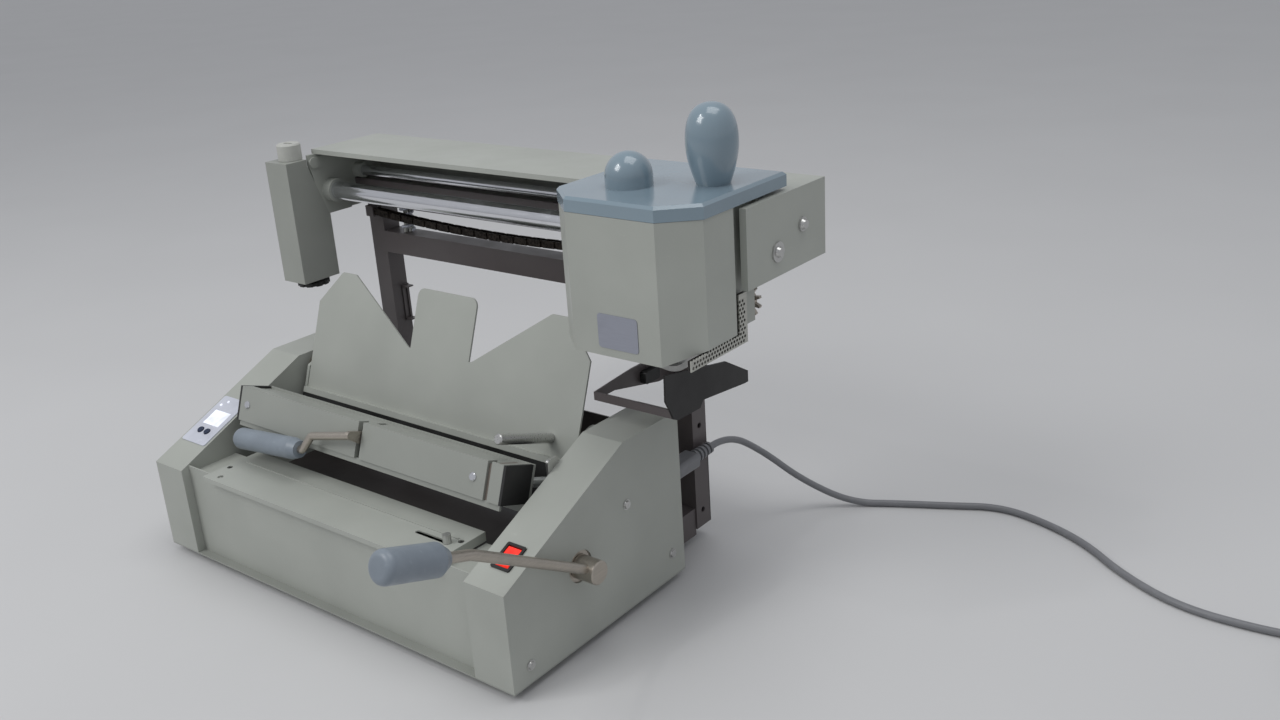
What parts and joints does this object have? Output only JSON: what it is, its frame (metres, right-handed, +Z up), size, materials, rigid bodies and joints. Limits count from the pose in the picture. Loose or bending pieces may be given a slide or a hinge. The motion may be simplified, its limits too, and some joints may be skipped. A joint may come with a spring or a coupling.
{
  "type": "desktop hot-melt book binding machine",
  "caption": "Desktop hot-melt glue binder with tilting sheet clamp, press lever, railed glue carriage with lift-off lid, milling head and mains cord.",
  "frame": {"origin": "middle of the machine's footprint, cord apart, on the surface its feet stand on", "axes": "+X along the rails from the milling head to the glue carriage, +Y away from the operator, +Z up"},
  "size_m": [1.1608, 0.6572, 0.468],
  "materials": {
    "housing_paint": "light warm-grey textured powder coat",
    "lid_plastic": "glossy blue-grey enamel",
    "grip_plastic": "satin grey grip",
    "frame_steel": "dark warm-grey hammered paint",
    "dark_steel": "dark brown-black paint",
    "chrome_rail": "ground hard chrome",
    "zinc": "bright zinc plating",
    "turned_steel": "turned plain steel",
    "chain_steel": "oiled black chain",
    "black_plastic": "black moulding",
    "rubber_black": "black rubber",
    "panel_silver": "silver overlay",
    "display_white": "lit white display",
    "switch_red": "translucent red, lit",
    "button_dark": "dark blue keys",
    "label_silver": "blank satin plate",
    "guard_steel": "perforated plated sheet",
    "knob_grey": "pale grey knob",
    "cord_grey": "grey PVC",
    "wheel_aluminium": "machined"
  },
  "bodies": {
    "base": {"base_pan": "frame_steel", "left_housing": "housing_paint", "right_housing": "housing_paint", "front_panel": "housing_paint", "rubber_feet": "rubber_black", "cover_table": "housing_paint", "gantry_frame": "frame_steel", "rear_panel": "dark_steel", "hood": "housing_paint", "right_end_cover": "housing_paint", "guide_rails": "chrome_rail", "rail_bolts": "zinc", "drive_chain": "chain_steel", "bearings": "turned_steel", "lock_catch": "zinc", "drip_frame": "frame_steel", "drip_side": "dark_steel", "tray_latch": "black_plastic", "control_panel": "panel_silver", "panel_lights": "display_white", "switch_bezel": "black_plastic", "housing_screws": "zinc", "mains_inlet": "black_plastic", "cord_connector": "cord_grey", "power_cord": "cord_grey", "cord_coil": "cord_grey", "mains_plug": "cord_grey"},
    "cover_gauge": {"side_gauge": "zinc"},
    "platform": {"press_platform": "dark_steel"},
    "press_lever": {"lever_shaft": "turned_steel", "lever_grip": "grip_plastic"},
    "clamp": {"back_rest": "housing_paint", "fixed_jaw": "frame_steel", "side_stop": "zinc"},
    "jaw": {"jaw_plate": "turned_steel", "jaw_bar": "housing_paint", "jaw_covers": "housing_paint", "jaw_end_caps": "black_plastic", "guide_rods": "chrome_rail", "jaw_screws": "zinc"},
    "clamp_handle": {"clamp_lever": "turned_steel", "clamp_grip": "grip_plastic"},
    "carriage": {"carriage_shell": "housing_paint", "side_guard": "guard_steel", "blank_plate": "label_silver", "rail_block": "frame_steel", "glue_pot": "wheel_aluminium"},
    "wheel": {"glue_wheel": "wheel_aluminium"},
    "sprocket_shaft": {"sprocket": "turned_steel"},
    "lid": {"carriage_lid": "lid_plastic", "dome_knob": "lid_plastic", "egg_knob": "lid_plastic"},
    "mill_head": {"mill_box": "housing_paint", "mill_bracket": "housing_paint", "mill_motor": "black_plastic"},
    "mill_cutter": {"cutter": "black_plastic"},
    "mill_depth": {"depth_knob": "knob_grey"},
    "switch_rocker": {"rocker_switch": "switch_red"},
    "button_down": {"down_button": "button_dark"},
    "button_up": {"up_button": "button_dark"}
  },
  "joints": [
    {"name": "gauge_slide", "type": "slide", "parent": "base", "child": "cover_gauge", "axis": [1, 0, 0], "range_m": [-0.036, 0]},
    {"name": "press_pivot", "type": "hinge", "parent": "base", "child": "press_lever", "pos_m": [0.2204, -0.01302, 0.085], "axis": [1, 0, 0], "range_deg": [0, 40]},
    {"name": "platform_lift", "type": "slide", "parent": "base", "child": "platform", "axis": [0, 0, 1], "range_m": [0, 0.0081]},
    {"name": "clamp_flip", "type": "hinge", "parent": "base", "child": "clamp", "pos_m": [-0.0416, 0.07798, 0.158], "axis": [1, 0, 0], "range_deg": [-159.4, 0]},
    {"name": "jaw_handle", "type": "hinge", "parent": "jaw", "child": "clamp_handle", "pos_m": [-0.0416, -0.01854, 0.15044], "axis": [1, 0, 0], "range_deg": [-100, 0]},
    {"name": "jaw_slide", "type": "slide", "parent": "clamp", "child": "jaw", "axis": [0, 0.9361, -0.3518], "range_m": [0, 0.0446]},
    {"name": "carriage_slide", "type": "slide", "parent": "base", "child": "carriage", "axis": [1, 0, 0], "range_m": [-0.385, 0]},
    {"name": "wheel_spin", "type": "hinge", "parent": "carriage", "child": "wheel", "pos_m": [0.2294, 0.12198, 0.262], "axis": [0, 1, 0], "range_deg": [-740, 5]},
    {"name": "sprocket_spin", "type": "hinge", "parent": "carriage", "child": "sprocket_shaft", "pos_m": [0.2533, 0.17198, 0.2766], "axis": [0, 1, 0], "range_deg": [-10, 1235]},
    {"name": "lid_lift", "type": "slide", "parent": "carriage", "child": "lid", "axis": [0, 0, 1], "range_m": [0, 0.04]},
    {"name": "mill_slide", "type": "slide", "parent": "base", "child": "mill_head", "axis": [1, 0, 0], "range_m": [0, 0.385]},
    {"name": "cutter_spin", "type": "hinge", "parent": "mill_head", "child": "mill_cutter", "pos_m": [-0.2961, 0.12698, 0.234], "axis": [0, 0, 1], "continuous": true},
    {"name": "depth_turn", "type": "hinge", "parent": "mill_head", "child": "mill_depth", "pos_m": [-0.2961, 0.12198, 0.385], "axis": [0, 0, 1], "range_deg": [0, 300]},
    {"name": "switch_rock", "type": "hinge", "parent": "base", "child": "switch_rocker", "pos_m": [0.1864, -0.07479, 0.1154], "axis": [1, 0, 0], "range_deg": [0, 12]},
    {"name": "down_press", "type": "slide", "parent": "base", "child": "button_down", "axis": [0, 0.4041, -0.9147], "range_m": [0, 0.0012], "stiffness_N_per_m": 150},
    {"name": "up_press", "type": "slide", "parent": "base", "child": "button_up", "axis": [0, 0.4041, -0.9147], "range_m": [0, 0.0012], "stiffness_N_per_m": 150}
  ],
  "couplings": [
    {"joint": "platform_lift", "follows": "press_pivot", "m_per_rad": 0.011459},
    {"joint": "jaw_slide", "follows": "jaw_handle", "m_per_rad": -0.025497},
    {"joint": "wheel_spin", "follows": "carriage_slide", "rad_per_m": 32.983},
    {"joint": "sprocket_spin", "follows": "carriage_slide", "rad_per_m": -54.971}
  ]
}
